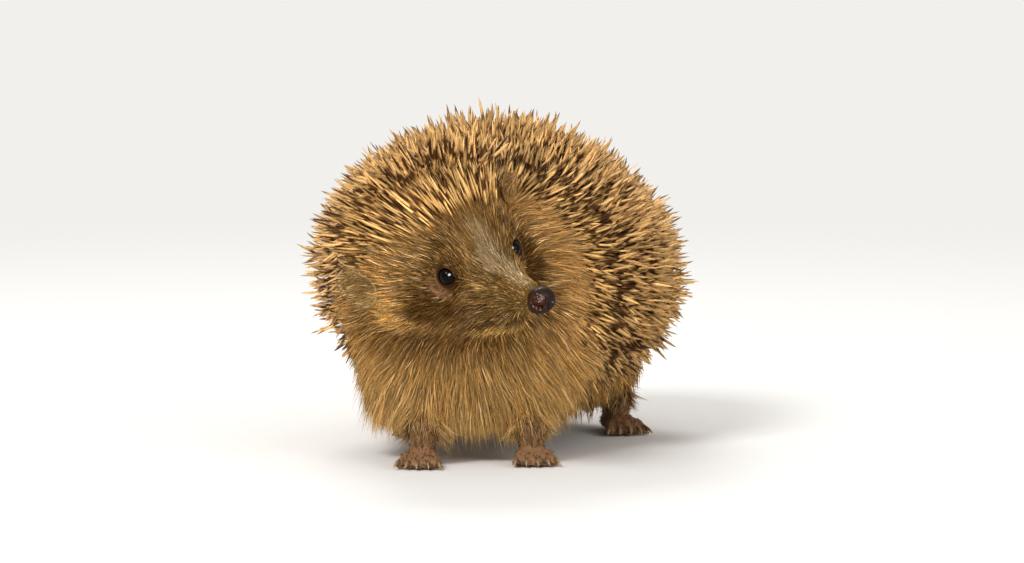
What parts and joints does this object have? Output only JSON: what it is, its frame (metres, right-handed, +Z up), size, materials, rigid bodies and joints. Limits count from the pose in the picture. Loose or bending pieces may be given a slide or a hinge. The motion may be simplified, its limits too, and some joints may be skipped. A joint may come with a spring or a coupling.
{
  "type": "hedgehog",
  "caption": "Still, life-size model of a young hedgehog standing half curled, its furry face turned to its left under a hood of spines.",
  "frame": {"origin": "on the floor, under the middle of the whole animal", "axes": "+Z up; +Y from the chest towards the rump, so the chest faces -Y; +X the side that the head is turned to, the animal's left"},
  "size_m": [0.1178, 0.175, 0.1016],
  "materials": {
    "spines": "satin",
    "body_fur": "matte",
    "face_fur": "matte",
    "bare_skin": "matte",
    "nose_leather": "gloss",
    "eye": "polished",
    "claw": "satin"
  },
  "bodies": {
    "root": {"mantle": "spines", "belly": "body_fur", "chest": "body_fur", "neck": "body_fur", "head": "face_fur", "jaw": "face_fur", "nose": "nose_leather", "eye_right": "eye", "eye_left": "eye", "ear_right": "bare_skin", "ear_left": "bare_skin", "foreleg_right": "body_fur", "foreleg_left": "body_fur", "hindleg_right": "body_fur", "hindleg_left": "body_fur", "forepaw_right": "bare_skin", "forepaw_left": "bare_skin", "hindpaw_right": "bare_skin", "hindpaw_left": "bare_skin", "tail": "bare_skin"}
  },
  "joints": []
}
